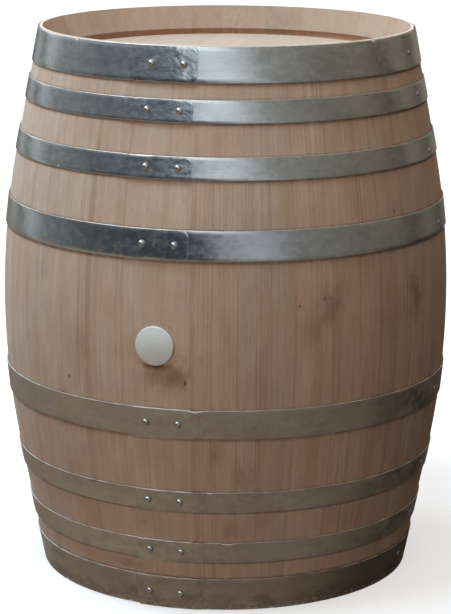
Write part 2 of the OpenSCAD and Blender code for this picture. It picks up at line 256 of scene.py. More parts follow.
class Shader:
    """A node tree being written, with short calls for the nodes used here."""

    def __init__(self, tree):
        self.tree = tree
        tree.nodes.clear()

    def add(self, kind, inputs=None, **settings):
        node = self.tree.nodes.new(kind)
        for name, value in settings.items():
            setattr(node, name, value)
        for name, value in (inputs or {}).items():
            self.feed(node.inputs[name], value)
        return node

    def feed(self, socket, value):
        if isinstance(value, bpy.types.NodeSocket):
            self.tree.links.new(value, socket)
        elif hasattr(socket.default_value, "__len__") and len(socket.default_value) == 4:
            socket.default_value = (*value, 1) if len(value) == 3 else value
        else:
            socket.default_value = value

    def vector(self, name):
        return self.add("ShaderNodeAttribute", attribute_name=name).outputs["Vector"]

    def value(self, name):
        return self.add("ShaderNodeAttribute", attribute_name=name).outputs["Fac"]

    def object_place(self):
        return self.add("ShaderNodeTexCoord").outputs["Object"]

    def math(self, operation, a, b=0.0, c=0.0, clamp=False):
        return self.add("ShaderNodeMath", {0: a, 1: b, 2: c}, operation=operation, use_clamp=clamp).outputs[0]

    def times(self, a, b, plus=None, clamp=False):
        """a * b, or a * b + plus."""
        if plus is None:
            return self.math("MULTIPLY", a, b)
        return self.math("MULTIPLY_ADD", a, b, plus, clamp)

    def swing(self, value, amount, base=None, clamp=False):
        """What value is over or under a half, times amount, added to base."""
        return self.times(self.math("SUBTRACT", value, 0.5), amount, base, clamp)

    def vector_math(self, operation, a, b=(0, 0, 0)):
        node = self.add("ShaderNodeVectorMath", {0: a, 1: b}, operation=operation)
        return node.outputs["Value" if operation == "LENGTH" else "Vector"]

    def stretch(self, vector, scales):
        return self.vector_math("MULTIPLY", vector, scales)

    def noise(self, vector, scales, detail=3.0, roughness=0.6, distortion=0.0):
        inputs = {"Vector": self.stretch(vector, scales), "Scale": 1.0, "Detail": detail}
        inputs |= {"Roughness": roughness, "Distortion": distortion}
        return self.add("ShaderNodeTexNoise", inputs).outputs["Fac"]

    def shake(self, vector, scales, reach, detail=1.0):
        """A vector moved about by up to reach."""
        inputs = {"Vector": self.stretch(vector, scales), "Scale": 1.0, "Detail": detail}
        noise = self.add("ShaderNodeTexNoise", inputs).outputs["Color"]
        centred = self.vector_math("SUBTRACT", noise, (0.5, 0.5, 0.5))
        return self.vector_math("ADD", vector, self.stretch(centred, reach))

    def cells(self, vector, scales):
        """A random number for each cell."""
        inputs = {"Vector": self.stretch(vector, scales), "Scale": 1.0}
        colour = self.add("ShaderNodeTexVoronoi", inputs).outputs["Color"]
        return self.add("ShaderNodeSeparateColor", {0: colour}).outputs[0]

    def between(self, value, low, high, curve="SMOOTHSTEP"):
        """Rises from 0 at low to 1 at high."""
        inputs = {"Value": value, "From Min": low, "From Max": high}
        return self.add("ShaderNodeMapRange", inputs, interpolation_type=curve).outputs["Result"]

    def ramp(self, value, stops):
        """Colours by value. Stops are (place, colour or grey), in rising order."""
        node = self.add("ShaderNodeValToRGB", {"Fac": value})
        elements = node.color_ramp.elements
        while len(elements) < len(stops):
            elements.new(1.0)
        for element, stop in zip(elements, stops):
            element.position = stop[0]
        for element, stop in zip(elements, stops):
            shade = stop[1] if hasattr(stop[1], "__len__") else (stop[1],) * 3
            element.color = (*shade, 1)
        return node.outputs["Color"]

    def mix(self, factor, a, b, blend="MIX"):
        node = self.add("ShaderNodeMix", data_type="RGBA", blend_type=blend)
        colours = [s for s in node.inputs if s.type == "RGBA"]
        self.feed(node.inputs["Factor"], factor)
        self.feed(colours[0], a)
        self.feed(colours[1], b)
        return [s for s in node.outputs if s.type == "RGBA"][0]

    def lay(self, mask, strength, under, over):
        """The colour over, laid on the colour under where the mask is 1."""
        return self.mix(self.times(mask, strength), under, over)

    def bump(self, height, distance, strength=1.0, normal=None):
        inputs = {"Height": height, "Distance": distance, "Strength": strength}
        if normal is not None:
            inputs["Normal"] = normal
        return self.add("ShaderNodeBump", inputs).outputs["Normal"]

    def surface(self, **inputs):
        """The finished surface, with names of the Principled inputs written with underscores."""
        named = {key.replace("_", " "): value for key, value in inputs.items()}
        shader = self.add("ShaderNodeBsdfPrincipled", named).outputs["BSDF"]
        self.add("ShaderNodeOutputMaterial", {"Surface": shader})


def new_material(name):
    material = bpy.data.materials.new(name)
    material.use_nodes = True
    return material, Shader(material.node_tree)


# ---- oak

# Knots on the outside: azimuth, height, half width, half height
KNOTS = [
    (35.0, 0.496, 0.0017, 0.0022), (41.5, 0.504, 0.0014, 0.0018),
    (43.0, 0.504, 0.0012, 0.0018), (64.6, 0.620, 0.0014, 0.0060),
    (7.4, 0.380, 0.0020, 0.0048), (-25.0, 0.367, 0.0026, 0.0020),
    (128.0, 0.560, 0.0030, 0.0044), (201.0, 0.330, 0.0026, 0.0036),
    (262.0, 0.520, 0.0034, 0.0046),
]

# Brown water and hand marks on the outside, and one painted shadow under the bung's cap: azimuth, height, half
# width, half height, strength
STAINS = [
    (43.5, 0.492, 0.028, 0.055, 0.55), (38.0, 0.459, 0.034, 0.040, 0.22),
    (72.0, 0.482, 0.030, 0.066, 0.62), (62.0, 0.450, 0.045, 0.070, 0.22),
    (21.0, 0.228, 0.022, 0.040, 0.32), (14.6, 0.267, 0.018, 0.030, 0.35),
    (18.5, 0.138, 0.024, 0.026, 0.38), (-12.0, 0.067, 0.050, 0.014, 0.45),
    # The first entry on the next line is painted shadow along the lower edge of the bung's cap
    (0.4, 0.4015, 0.028, 0.0085, 0.80), (5.5, 0.388, 0.026, 0.034, 0.58),
    (1.0, 0.386, 0.052, 0.028, 0.44), (-3.0, 0.430, 0.046, 0.040, 0.16),
    (62.0, 0.300, 0.050, 0.090, 0.22), (-22.0, 0.425, 0.040, 0.050, 0.18),
    (150.0, 0.480, 0.030, 0.060, 0.40), (230.0, 0.260, 0.040, 0.050, 0.35),
]

# Darker streaks along the grain: azimuth, height, half width, half height, strength
STREAKS = [
    (-18.6, 0.560, 0.0085, 0.44, 0.50), (-19.6, 0.240, 0.0080, 0.26, 0.26),
    (9.2, 0.480, 0.0050, 0.46, 0.22), (27.8, 0.600, 0.0060, 0.34, 0.16),
    (44.0, 0.420, 0.0070, 0.26, 0.26), (-37.5, 0.420, 0.0120, 0.30, 0.16),
    (58.0, 0.640, 0.0070, 0.22, 0.22), (118.0, 0.500, 0.0090, 0.40, 0.24),
    (170.0, 0.420, 0.0110, 0.44, 0.26), (222.0, 0.520, 0.0080, 0.38, 0.22),
]

# Painted shadow right under the bung's cap: azimuth, height, half width, half height, strength
BUNG_CAP_SHADOW = [(-0.3, 0.4045, 0.027, 0.0070, 0.92)]

# Each kind of mark: its table, softness of the edge, raggedness and colour
MARKS = [
    (STREAKS, 0.70, 0.7, (0.34, 0.215, 0.145)),
    (STAINS, 0.95, 1.3, (0.235, 0.135, 0.080)),
    # Painted shadow under the bung's cap
    (BUNG_CAP_SHADOW, 0.80, 0.5, (0.100, 0.054, 0.028)),
]

# The ring that the bung's cap has rubbed on the wood: radius, half width
BUNG_RING = (0.0375, 0.0032)


def at_place(azimuth, z):
    """Where a mark on the staves is in their "place" attribute."""
    return (math.radians(azimuth) * BILGE_R, 0.0, z)


def spot(s, place, azimuth, z, half_w, half_h, edge, raggedness):
    """1 inside a ragged oval, falling to 0 outside. The depth into the wood doesn't count."""
    offset = s.vector_math("SUBTRACT", place, at_place(azimuth, z))
    distance = s.vector_math("LENGTH", s.stretch(offset, (1 / half_w, 0, 1 / half_h)))
    distance = s.swing(s.noise(place, (60, 0, 45)), raggedness, distance)
    return s.between(distance, 1.0, 1.0 - edge)


def bung_ring(s, place):
    """1 along a broken ring round the bung."""
    offset = s.vector_math("SUBTRACT", place, at_place(0, BUNG_Z))
    distance = s.vector_math("LENGTH", s.stretch(offset, (1, 0, 1)))
    radius, half_width = BUNG_RING
    away = s.math("ABSOLUTE", s.math("SUBTRACT", distance, radius))
    broken = s.between(s.noise(place, (38, 0, 38)), 0.44, 0.62)
    return s.times(s.between(away, half_width, 0.0), broken)


def marks(s, place, colour, height):
    """Streaks, stains, painted shadow under the bung's cap, the bung's ring and the knots of the outside, laid
    over a colour and a height.
    """
    for table, edge, raggedness, paint in MARKS:
        for azimuth, z, half_w, half_h, strength in table:
            inside = spot(s, place, azimuth, z, half_w, half_h, edge, raggedness)
            colour = s.lay(inside, strength, colour, paint)
    colour = s.lay(bung_ring(s, place), 0.34, colour, (0.27, 0.165, 0.105))
    for azimuth, z, half_w, half_h in KNOTS:
        halo = spot(s, place, azimuth, z, half_w * 2.6, half_h * 4.0, 0.9, 0.5)
        core = spot(s, place, azimuth, z, half_w, half_h, 0.5, 0.5)
        colour = s.lay(halo, 0.28, colour, (0.30, 0.16, 0.09))
        colour = s.lay(core, 0.85, colour, (0.075, 0.040, 0.022))
        height = s.times(core, -0.8, height)
    return colour, height


# How far the painted shadow and stain beside the hoops reach on the wood
SHADOW_ABOVE = 0.0018
SHADOW_BELOW = 0.0030
SHADOW_FADE = 0.0012


def hoop_shadows(s, place):
    """1 in the narrow strips of wood along the edges of the hoops, darkened by painted shadow under them and by
    stain.
    """
    stops = []
    for name in reversed(HOOPS):
        low, high = (corner.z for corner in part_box(name))
        dark_from = low - SHADOW_BELOW
        stops += [(dark_from - SHADOW_FADE, 0.0), (dark_from, 1.0), (high, 1.0), (high + SHADOW_ABOVE, 0.0)]
    stops = [(min(max(z / HEIGHT, 0.0), 1.0), shade) for z, shade in stops]
    along = s.add("ShaderNodeSeparateXYZ", {0: place}).outputs["Z"]
    return s.ramp(s.math("DIVIDE", along, HEIGHT), stops)


def oak(name, pale, brown, marked=False, toast=None, roughness=0.58, contrast=1.0):
    """Oak whose grain runs along the third component of the "grain" attribute.

    The tint attribute holds the board's own tone. marked adds knots, stains, painted shadow under the bung's
    cap, and painted shadow and dirt beside the hoops.
    toast is a charred colour laid over all of it.
    """
    material, s = new_material(name)
    grain = s.vector("grain")
    place = s.vector("place")
    bent = s.shake(grain, (9, 9, 2.2), (0.010, 0.004, 0))

    broad = s.noise(bent, (34, 24, 0.9), 2.0, 0.5)
    rings = s.noise(bent, (330, 150, 2.0), 3.0, 0.62)
    fine = s.noise(bent, (950, 520, 10.0), 2.0, 0.55)
    pores = s.between(s.noise(bent, (2300, 1500, 75), 1.0, 0.5), 0.60, 0.72)
    fleck = s.between(s.noise(grain, (130, 130, 420), 2.0, 0.5), 0.66, 0.78)
    mottle = s.noise(grain, (30, 30, 15), 4.0, 0.62)
    reddish = s.between(s.noise(grain, (21, 21, 6), 4.0, 0.62), 0.44, 0.66)
    ringed = s.times(s.between(broad, 0.42, 0.62), 1.15, 0.45)

    lines = s.times(s.swing(rings, ringed), 1.30 * contrast)
    lines = s.swing(fine, 0.78 * contrast, lines)
    tone = s.swing(broad, 0.55 * contrast, 0.45)
    tone = s.swing(mottle, 1.3 * contrast, tone)
    tone = s.times(lines, s.value("figure"), tone, clamp=True)
    colour = s.mix(tone, pale, brown)
    red = [c * k for c, k in zip(brown, (1.22, 0.93, 0.90))]
    colour = s.lay(reddish, 0.24 * contrast, colour, red)
    yellowish = s.between(s.noise(grain, (25, 25, 9)), 0.48, 0.30)
    yellow = [c * k for c, k in zip(brown, (1.12, 1.13, 0.95))]
    colour = s.lay(yellowish, 0.42 * contrast, colour, yellow)
    colour = s.lay(pores, 0.26, colour, [c * 0.45 for c in brown])
    colour = s.lay(fleck, 0.10, colour, [min(c * 1.2, 1) for c in pale])
    colour = s.mix(1.0, colour, s.vector("tint"), "MULTIPLY")

    height = s.times(pores, -0.9, s.times(fine, 0.5, s.times(rings, 0.7)))
    if marked:
        colour, height = marks(s, place, colour, height)
        # Painted shadow under the hoops' lower edges, with dirt along their edges, broken up by noise
        patchy = s.between(s.noise(place, (70, 0, 70), 3.0, 0.5), 0.10, 0.55)
        shadow_and_dirt = s.times(hoop_shadows(s, place), patchy)
        colour = s.lay(shadow_and_dirt, 0.66, colour, (0.13, 0.080, 0.055))
    if toast:
        burnt = s.between(s.noise(grain, (30, 30, 12)), 0.2, 0.75)
        colour = s.mix(s.times(burnt, 0.30, 0.62), colour, toast)
    rough = s.times(rings, 0.16, roughness - 0.08)
    s.surface(
        Base_Color=colour,
        Roughness=s.times(pores, 0.12, rough),
        Specular_IOR_Level=0.34,
        Normal=s.bump(height, 0.00025, 0.55),
    )
    return material


def half_turned(azimuth):
    """An azimuth from -180 up to 180."""
    return (azimuth + 180) % 360 - 180


def stave_attributes(mesh, middle, tint, offset, figure):
    """Gives a stave's mesh the grain, place, tint and figure that the oak reads. middle is its azimuth."""
    points = mesh_points(mesh)
    azimuth = half_turned(azimuth_of(points) - middle) + middle
    depth = surface_r(points[:, 2]) - radius_of(points)
    place = np.stack([np.radians(half_turned(azimuth)) * BILGE_R, depth, points[:, 2]], -1)
    grain = np.stack([np.radians(azimuth) * BILGE_R, depth, points[:, 2]], -1) + offset
    figures = np.full(len(points), figure)
    set_attributes(mesh, grain=grain, place=place, tint=np.broadcast_to(tint, points.shape), figure=figures)


# ---- staves

# Zones of a stave, which are also the slots of its materials
OUTER, JOINT, BEVEL, CROZE, INNER = range(5)

CHAR = (0.075, 0.042, 0.026)

# Tones of the staves in view: lightness, how red they are, and how strongly their grain shows
STAVE_TONES = {
    "bung_stave": (1.03, 0.00, 1.0),
    "stave_02": (0.97, 0.03, 1.2),
    "stave_03": (0.93, 0.00, 1.7),
    "stave_04": (1.03, 0.02, 1.7),
    "stave_05": (0.99, 0.04, 1.8),
    "stave_06": (0.97, 0.02, 1.8),
    "stave_07": (1.01, 0.00, 1.7),
    "stave_28": (1.05, 0.00, 0.85),
    "stave_27": (1.02, 0.01, 0.95),
    "stave_26": (1.03, -0.01, 0.95),
    "stave_25": (1.01, 0.02, 1.0),
    "stave_24": (1.05, -0.02, 0.9),
}


def stave_limits(name):
    """Azimuths of a packed stave's two joint faces."""
    points = points_of(name)
    middle = azimuth_of(points.mean(0))
    turned = half_turned(azimuth_of(points) - middle)
    return middle + turned.min(), middle + turned.max()


def stave_levels():
    """Matched points up a stave: height outside, and radius and height inside. Also the zone above each."""

    def bevel_r(depth):
        return END_R - CHIME_FLAT + (INNER_AT_BEVEL - END_R + CHIME_FLAT) * depth / BEVEL_DEPTH

    end = [
        (0.0000, bevel_r(0.0), 0.0000, BEVEL),
        (0.0007, bevel_r(0.002) + 0.0003, 0.0016, BEVEL),
        (0.0120, bevel_r(0.013), 0.0130, BEVEL),
        (0.0240, bevel_r(0.025), 0.0250, BEVEL),
        (0.0350, bevel_r(0.0372), 0.0372, BEVEL),
        (0.0380, INNER_AT_BEVEL + 0.0008, BEVEL_DEPTH, CROZE),
        (0.0400, SHOULDER_R, BEVEL_DEPTH, CROZE),
        (0.0460, SHOULDER_R, CROZE_FROM, CROZE),
        (0.0490, CROZE_R, CROZE_FROM, CROZE),
        (0.0530, CROZE_R, CROZE_TO, CROZE),
        (0.0560, float(surface_r(CROZE_TO, STAVE_T)), CROZE_TO, INNER),
    ]
    heights = np.linspace(0.066, HEIGHT - 0.066, 78)
    body = [(z, float(surface_r(z, STAVE_T)), z) for z in heights]
    top = [(HEIGHT - z, r, HEIGHT - z_in) for z, r, z_in, zone in reversed(end)]
    zones = [level[3] for level in end] + [INNER] * len(body) + [level[3] for level in reversed(end[:-1])]
    return [level[:3] for level in end + body + top], zones


def stave_columns(low, high, arris):
    """Azimuths across a stave, with narrow columns for the arris along each joint."""
    per_metre = math.degrees(1 / BILGE_R)
    count = max(4, round((high - low) / per_metre / 0.009))
    middle = np.linspace(low + 0.004 * per_metre, high - 0.004 * per_metre, count)
    edge = np.array([0.0, arris, 2.2 * arris]) * per_metre
    return np.concatenate([low + edge, middle, high - edge[::-1]])


def stave_mesh(name, materials, rng):
    """A stave and its middle azimuth."""
    low, high = stave_limits(name)
    low -= math.degrees(STAVE_SWELLING / BILGE_R)
    high += math.degrees(STAVE_SWELLING / BILGE_R)
    levels, zones = stave_levels()
    arris = rng.uniform(0.00006, 0.00022)
    columns = stave_columns(low, high, arris)
    rows = len(levels)
    count = len(columns)
    z_out, r_in, z_in = np.array(levels).T[:, :, None]

    share = (columns - low) / (high - low) - 0.5
    sunk = rng.uniform(0.00000, 0.00006)
    tilt = rng.uniform(-0.00010, 0.00010)
    uneven = Waves(rng, 0.05, 0.30, 0.00010)
    inset = sunk + abs(tilt) / 2 + tilt * share + 0.0001 + uneven(share * 0.08, z_out)
    inset[:, [0, -1]] += arris
    inset[[0, -1], :] += 0.0007
    outer = round_barrel(columns, surface_r(z_out) - np.maximum(inset, 0), z_out)
    inner = round_barrel(columns, r_in, z_in + 0 * columns)
    points = np.concatenate([outer.reshape(-1, 3), inner.reshape(-1, 3)])

    faces = grid_faces(rows, count)
    slots = [OUTER] * len(faces)
    inner_first = rows * count
    inner_faces = grid_faces(rows, count, inner_first)
    slots += [zones[i // (count - 1)] for i in range(len(inner_faces))]
    faces += [face[::-1] for face in inner_faces]
    rim = [(i * count + j, (i + 1) * count + j) for j in (0, count - 1) for i in range(rows - 1)]
    rim += [(i * count + j, i * count + j + 1) for i in (0, rows - 1) for j in range(count - 1)]
    faces += [(a, b, b + inner_first, a + inner_first) for a, b in rim]
    slots += [JOINT] * len(rim)
    return new_piece(name.replace("stave", "oak_stave"), points, faces, materials, slots), (low + high) / 2


def cut_bung_hole(piece):
    """Cuts the tapered hole, with a small chamfer at the outside."""
    outline = [
        (0.0005, -0.040),
        (BUNG_HOLE_INNER_R - 0.001, -0.040),
        (BUNG_HOLE_INNER_R, -STAVE_T),
        (BUNG_HOLE_R - 0.0003, -0.0010),
        (BUNG_HOLE_R + 0.0007, 0.0002),
        (BUNG_HOLE_R + 0.002, 0.006),
        (0.0005, 0.006),
    ]
    points, faces = lathe(outline, 96)
    cutter = new_piece("bung_hole_cutter", at_bung(points), faces, [piece.data.materials[CROZE]])
    modifier = piece.modifiers.new("bung_hole", "BOOLEAN")
    modifier.operation = "DIFFERENCE"
    modifier.solver = "EXACT"
    modifier.material_mode = "TRANSFER"
    modifier.object = cutter
    evaluated = piece.evaluated_get(bpy.context.evaluated_depsgraph_get())
    finished = bpy.data.meshes.new_from_object(evaluated)
    piece.modifiers.clear()
    piece.data = finished
    bpy.data.objects.remove(cutter)
    soften(piece.data, 32)


def build_staves(rng):
    materials = [
        oak("oak_outside", (0.625, 0.505, 0.405), (0.44, 0.318, 0.240), marked=True),
        oak("oak_end_grain", (0.84, 0.79, 0.72), (0.66, 0.58, 0.49), roughness=0.75),
        # The inner wall above the head: the oak darkened as painted shade inside the barrel's end
        oak("oak_chime_shaded", (0.475, 0.360, 0.280), (0.365, 0.258, 0.190), roughness=0.62, contrast=0.8),
        # The croze band's darker, redder oak: partly the wood's own brown, partly painted shade of the undercut
        # recess
        oak("oak_croze_shaded", (0.58, 0.35, 0.235), (0.39, 0.215, 0.140), roughness=0.75),
        oak("oak_toasted", (0.42, 0.27, 0.17), (0.26, 0.15, 0.09), toast=CHAR, roughness=0.8),
    ]
    for name in STAVES:
        piece, azimuth = stave_mesh(name, materials, rng)
        drawn = (rng.uniform(0.93, 1.04), rng.uniform(-0.02, 0.05), 1.2)
        lightness, red, figure = STAVE_TONES.get(name, drawn)
        tint = np.array([1.0, 1.0 - red, 1.0 - 1.4 * red]) * lightness
        offset = rng.uniform(0, 5, 3)
        if name == "bung_stave":
            cut_bung_hole(piece)
        stave_attributes(piece.data, azimuth, tint, offset, figure)
        stand_in(piece, name)


# ---- heads


def head_disc():
    """A whole head as a bmesh, with its outer face up at height zero."""
    outline = [(r, 0.0) for r in (0.004, 0.06, 0.12, 0.18, 0.23)]
    outline += [
        (HEAD_FLAT_R - 0.0006, 0.0),
        (HEAD_FLAT_R + 0.0006, -0.00012),
        (SHOULDER_R - 0.0015, HEAD_DEPTH - TONGUE_FROM),
        (TONGUE_R, HEAD_DEPTH - TONGUE_FROM),
        (TONGUE_R, HEAD_DEPTH - TONGUE_TO),
        (INNER_AT_BEVEL - 0.0005, HEAD_DEPTH - TONGUE_TO),
        (HEAD_INNER_FLAT_R, -HEAD_T),
        (0.12, -HEAD_T),
        (0.004, -HEAD_T),
    ]
    points, faces = lathe(outline, 160)
    bm = bmesh.new()
    made = [bm.verts.new(p) for p in points]
    for face in faces:
        bm.faces.new([made[i] for i in face])
    bmesh.ops.recalc_face_normals(bm, faces=bm.faces)
    return bm


def saw(bm, at, towards):
    """Cuts away what lies beyond a plane and closes the cut."""
    geometry = bm.verts[:] + bm.edges[:] + bm.faces[:]
    cut = bmesh.ops.bisect_plane(bm, geom=geometry, plane_co=at, plane_no=towards, clear_outer=True)
    bmesh.ops.holes_fill(bm, edges=[e for e in cut["geom_cut"] if isinstance(e, bmesh.types.BMEdge)])


def head_board_mesh(low, high, arris, drop, tilt):
    """The part of the head between two joints, with its arrises taken off."""
    bm = head_disc()
    for x, side in ((low, -1), (high, 1)):
        if abs(x) > TONGUE_R - 0.001:
            continue
        saw(bm, (x, 0, 0), (side, 0, 0))
        saw(bm, (x - side * arris, 0, 0), (side, 0, 1))
        saw(bm, (x - side * arris, 0, -HEAD_T), (side, 0, -1))
    middle = (low + high) / 2
    for vert in bm.verts:
        vert.co.z += (tilt * (vert.co.x - middle) - drop) * (1 + vert.co.z / HEAD_T)
    return bm


def build_head(end, rng, material):
    """The boards of one head. end is "top" or "bottom"."""
    top = end == "top"
    turn = math.radians(HEAD_TURN)
    face_z = HEIGHT - HEAD_DEPTH if top else HEAD_DEPTH
    flip = Matrix.Rotation(0 if top else math.pi, 4, "Y")
    to_its_end = Matrix.Translation((0, 0, face_z)) @ Matrix.Rotation(turn, 4, "Z") @ flip
    for n in range(1, 9):
        node = f"{end}_head_board_{n}"
        low, high = board_limits(node, turn, top)
        low, high = low - BOARD_SWELLING, high + BOARD_SWELLING
        arris = rng.uniform(0.00015, 0.0003)
        bm = head_board_mesh(low, high, arris, rng.uniform(0, 0.0002), rng.uniform(-0.001, 0.001))
        mesh = bpy.data.meshes.new(node)
        bmesh.ops.remove_doubles(bm, verts=bm.verts, dist=1e-6)
        bm.to_mesh(mesh)
        bm.free()
        mesh.materials.append(material)
        place = mesh_points(mesh)[:, [0, 2, 1]]
        offset = rng.uniform(0, 5, 3)
        lightness = rng.uniform(0.94, 1.03)
        red = rng.uniform(-0.01, 0.05)
        tint = np.array([1.0, 1.0 - red, 1.0 - 1.5 * red]) * lightness
        tints = np.broadcast_to(tint, place.shape)
        set_attributes(mesh, grain=place + offset, place=place, tint=tints, figure=np.ones(len(place)))
        mesh.transform(to_its_end)
        outward(mesh)
        soften(mesh, 25)
        stand_in(add_object(f"oak_{node}", mesh), node)


def board_limits(node, turn, top):
    """Where a packed head board begins and ends across the head, in the frame of head_disc."""
    points = points_of(node)
    across = points[:, 0] * math.cos(turn) + points[:, 1] * math.sin(turn)
    if not top:
        across = -across
    return across.min(), across.max()


def build_heads(rng):
    material = oak("oak_head", (0.545, 0.455, 0.392), (0.43, 0.335, 0.278), roughness=0.6, contrast=0.7)
    for end in ("top", "bottom"):
        build_head(end, rng, material)


# ---- hoops

# Rounding of the strips' rolled edges, and of the corners at their visible ends
UPPER_EDGE_R = 0.0008
LOWER_EDGE_R = 0.0005
UPPER_CORNER_R = 0.009
LOWER_CORNER_R = 0.003

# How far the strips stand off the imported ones, and what wear has taken from their edges
HOOP_SEAT = 0.00016
EDGE_LOSS = 0.0002

# How far from a lap the rolling and hammering show
LAP_MARKS_L = 0.075

# Nicks in the hoops' edges from the hoop driver: azimuth, half length, depth, side (1 is the upper edge)
NICKS = {
    "top_head_hoop": [(-32, 0.004, 0.0008, 1), (64.4, 0.006, 0.0007, 1), (140, 0.008, 0.0010, 1)],
    "top_outer_quarter_hoop": [(-8, 0.005, 0.0006, 1), (101, 0.006, 0.0009, 1)],
    "top_inner_quarter_hoop": [(-5.5, 0.030, 0.0009, 1), (3, 0.005, 0.0009, -1), (-32, 0.005, 0.0007, -1)],
    "top_bilge_hoop": [(16, 0.004, 0.0005, 1), (214, 0.010, 0.0009, 1)],
    "bottom_bilge_hoop": [(9.9, 0.016, 0.0012, 1), (208, 0.008, 0.0009, 1)],
    "bottom_inner_quarter_hoop": [(13.2, 0.007, 0.0007, 1), (165, 0.008, 0.0009, 1)],
    "bottom_outer_quarter_hoop": [(17.8, 0.012, 0.0013, 1), (241, 0.006, 0.0008, 1)],
    "bottom_head_hoop": [(-40, 0.006, 0.0010, -1), (-12, 0.005, 0.0008, -1), (31, 0.007, 0.0010, -1)],
}

# How far the steel beside a nick stands out, as a share of the nick's depth
NICK_CURL = 0.35


def wrapped(azimuth):
    """An azimuth from -90 up to 270, which keeps the laps and the nails away from the jump."""
    return (azimuth + 90) % 360 - 90


def fasteners(node, z):
    """Points of each fastener in a packed group that stands near height z, in order of azimuth."""
    points = points_of(node)
    near = points[np.abs(points[:, 2] - z) < 0.032]
    near = near[np.argsort(wrapped(azimuth_of(near)))]
    gaps = np.nonzero(np.diff(wrapped(azimuth_of(near))) > 3)[0] + 1
    return np.split(near, gaps)


class Hoop:
    """Where a packed hoop is. n is the distance out from the staves, v the distance up along the hoop."""

    def __init__(self, name):
        low, high = (corner.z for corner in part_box(name))
        self.name = name
        self.upper = name in UPPER_HOOPS
        self.side = 1 if self.upper else -1
        self.lean = lean((low + high) / 2)
        layers = HOOP_T + LAYER_STEP
        self.z = (low + high) / 2 - (HOOP_CLEAR + layers / 2) * math.sin(self.lean)
        self.width = (high - low - layers * abs(math.sin(self.lean))) / math.cos(self.lean)
        self.r = float(surface_r(self.z))
        self.rivets = [wrapped(azimuth_of(group.mean(0))) for group in fasteners("hoop_rivets", self.z)]
        self.lap = sum(self.rivets) / len(self.rivets)
        self.half_pitch = (max(self.rivets) - min(self.rivets)) / 2
        self.per_metre = math.degrees(1 / self.r)

    def at(self, azimuth, n, v):
        r = self.r + n * math.cos(self.lean) - v * math.sin(self.lean)
        z = self.z + n * math.sin(self.lean) + v * math.cos(self.lean)
        return round_barrel(azimuth, r, z)

    def height_on(self, point):
        """v of a point."""
        return -(radius_of(point) - self.r) * math.sin(self.lean) + (point[2] - self.z) * math.cos(self.lean)

    def frame_at(self, azimuth, n, v):
        """X runs round the barrel, Y up along the hoop and Z outwards."""
        a = math.radians(azimuth)
        across = Vector((math.cos(a), math.sin(a), 0))
        level = math.cos(self.lean)
        out = Vector((math.sin(a) * level, -math.cos(a) * level, math.sin(self.lean)))
        up = out.cross(across)
        turned = Matrix((across, up, out)).transposed().to_4x4()
        return Matrix.Translation(self.at(azimuth, n, v)) @ turned


def section_outline(edge_r):
    """Points round a hoop's section: n, share of the half width, inset from the edge, and 1 on an edge."""
    turned = np.radians([0, 30, 60, 90])
    far = edge_r - edge_r * np.sin(turned)
    near = edge_r - edge_r * np.cos(turned)
    outline = [(HOOP_T, share, edge_r, 0) for share in np.linspace(-1, 1, 9)]
    outline += [(HOOP_T - b, 1, a, 1) for a, b in zip(far[1:], near[1:])]
    outline += [(a, 1, b, 1) for a, b in zip(far, near)]
    outline += [(0, share, edge_r, 0) for share in (0.5, 0, -0.5, -1)]
    outline += [(b, -1, a, 1) for a, b in zip(far[1:], near[1:])]
    outline += [(HOOP_T - a, -1, b, 1) for a, b in zip(far[:-1], near[:-1])]
    return np.array(outline)


def smooth_step(x):
    x = np.clip(x, 0, 1)
    return x * x * (3 - 2 * x)


# How far the visible end of a lap reaches down past the layer under it
LAP_DROPS = {
    "bottom_bilge_hoop": 0.0026,
    "bottom_inner_quarter_hoop": 0.0024,
    "bottom_outer_quarter_hoop": 0.0024,
    "bottom_head_hoop": 0.0004,
}

# The last part of a lap stays straight, so that its end stands off the layer under it
TAIL_L = 0.020
TAIL_LIFT = 0.00055


def strip_turns(hoop, nicks, ramp_at, end, corner):
    """Degrees along a strip of its rows of points, close together at the ramp, the nicks and the end."""
    per_metre = hoop.per_metre
    rounding = end - corner * per_metre * (1 - np.sin(np.radians(np.linspace(0, 90, 10))))
    turns = [np.arange(-HIDDEN_END * per_metre, rounding[0], 0.8)]
    turns.append(np.linspace(ramp_at, ramp_at + RAMP_L * per_metre, 24))
    turns += [at + np.linspace(-1.2, 1.2, 15) * length * per_metre for at, length, depth, side in nicks]
    turns = np.unique(np.round(np.concatenate(turns), 4))
    return np.concatenate([turns[turns < rounding[0] - 0.02], rounding])


def worn_edges(hoop, nicks, along, share, cut, rng):
    """Half widths, outward curl and bared steel of a strip, for rows along it and points over its section."""
    ragged = Waves(rng, 0.02, 1, 0.00008)
    half_width = curled = bared = 0
    for side, half, edge in ((1, share > 0, share > 0.99), (-1, share <= 0, share < -0.99)):
        lost = EDGE_LOSS + cut + np.abs(ragged(along + side, 0 * along))
        curl = fresh = 0 * along
        for at, length, depth, nick_side in nicks:
            if nick_side == side:
                bite = np.clip(1 - ((along - at / hoop.per_metre) / length) ** 2, 0, 1) ** 0.7
                lost = lost + depth * bite
                curl = curl + NICK_CURL * depth * bite
                fresh = np.maximum(fresh, bite)
        half_width = half_width + half * (hoop.width / 2 - lost)
        curled = curled + edge * curl
        bared = bared + edge * fresh
    return half_width, curled, bared


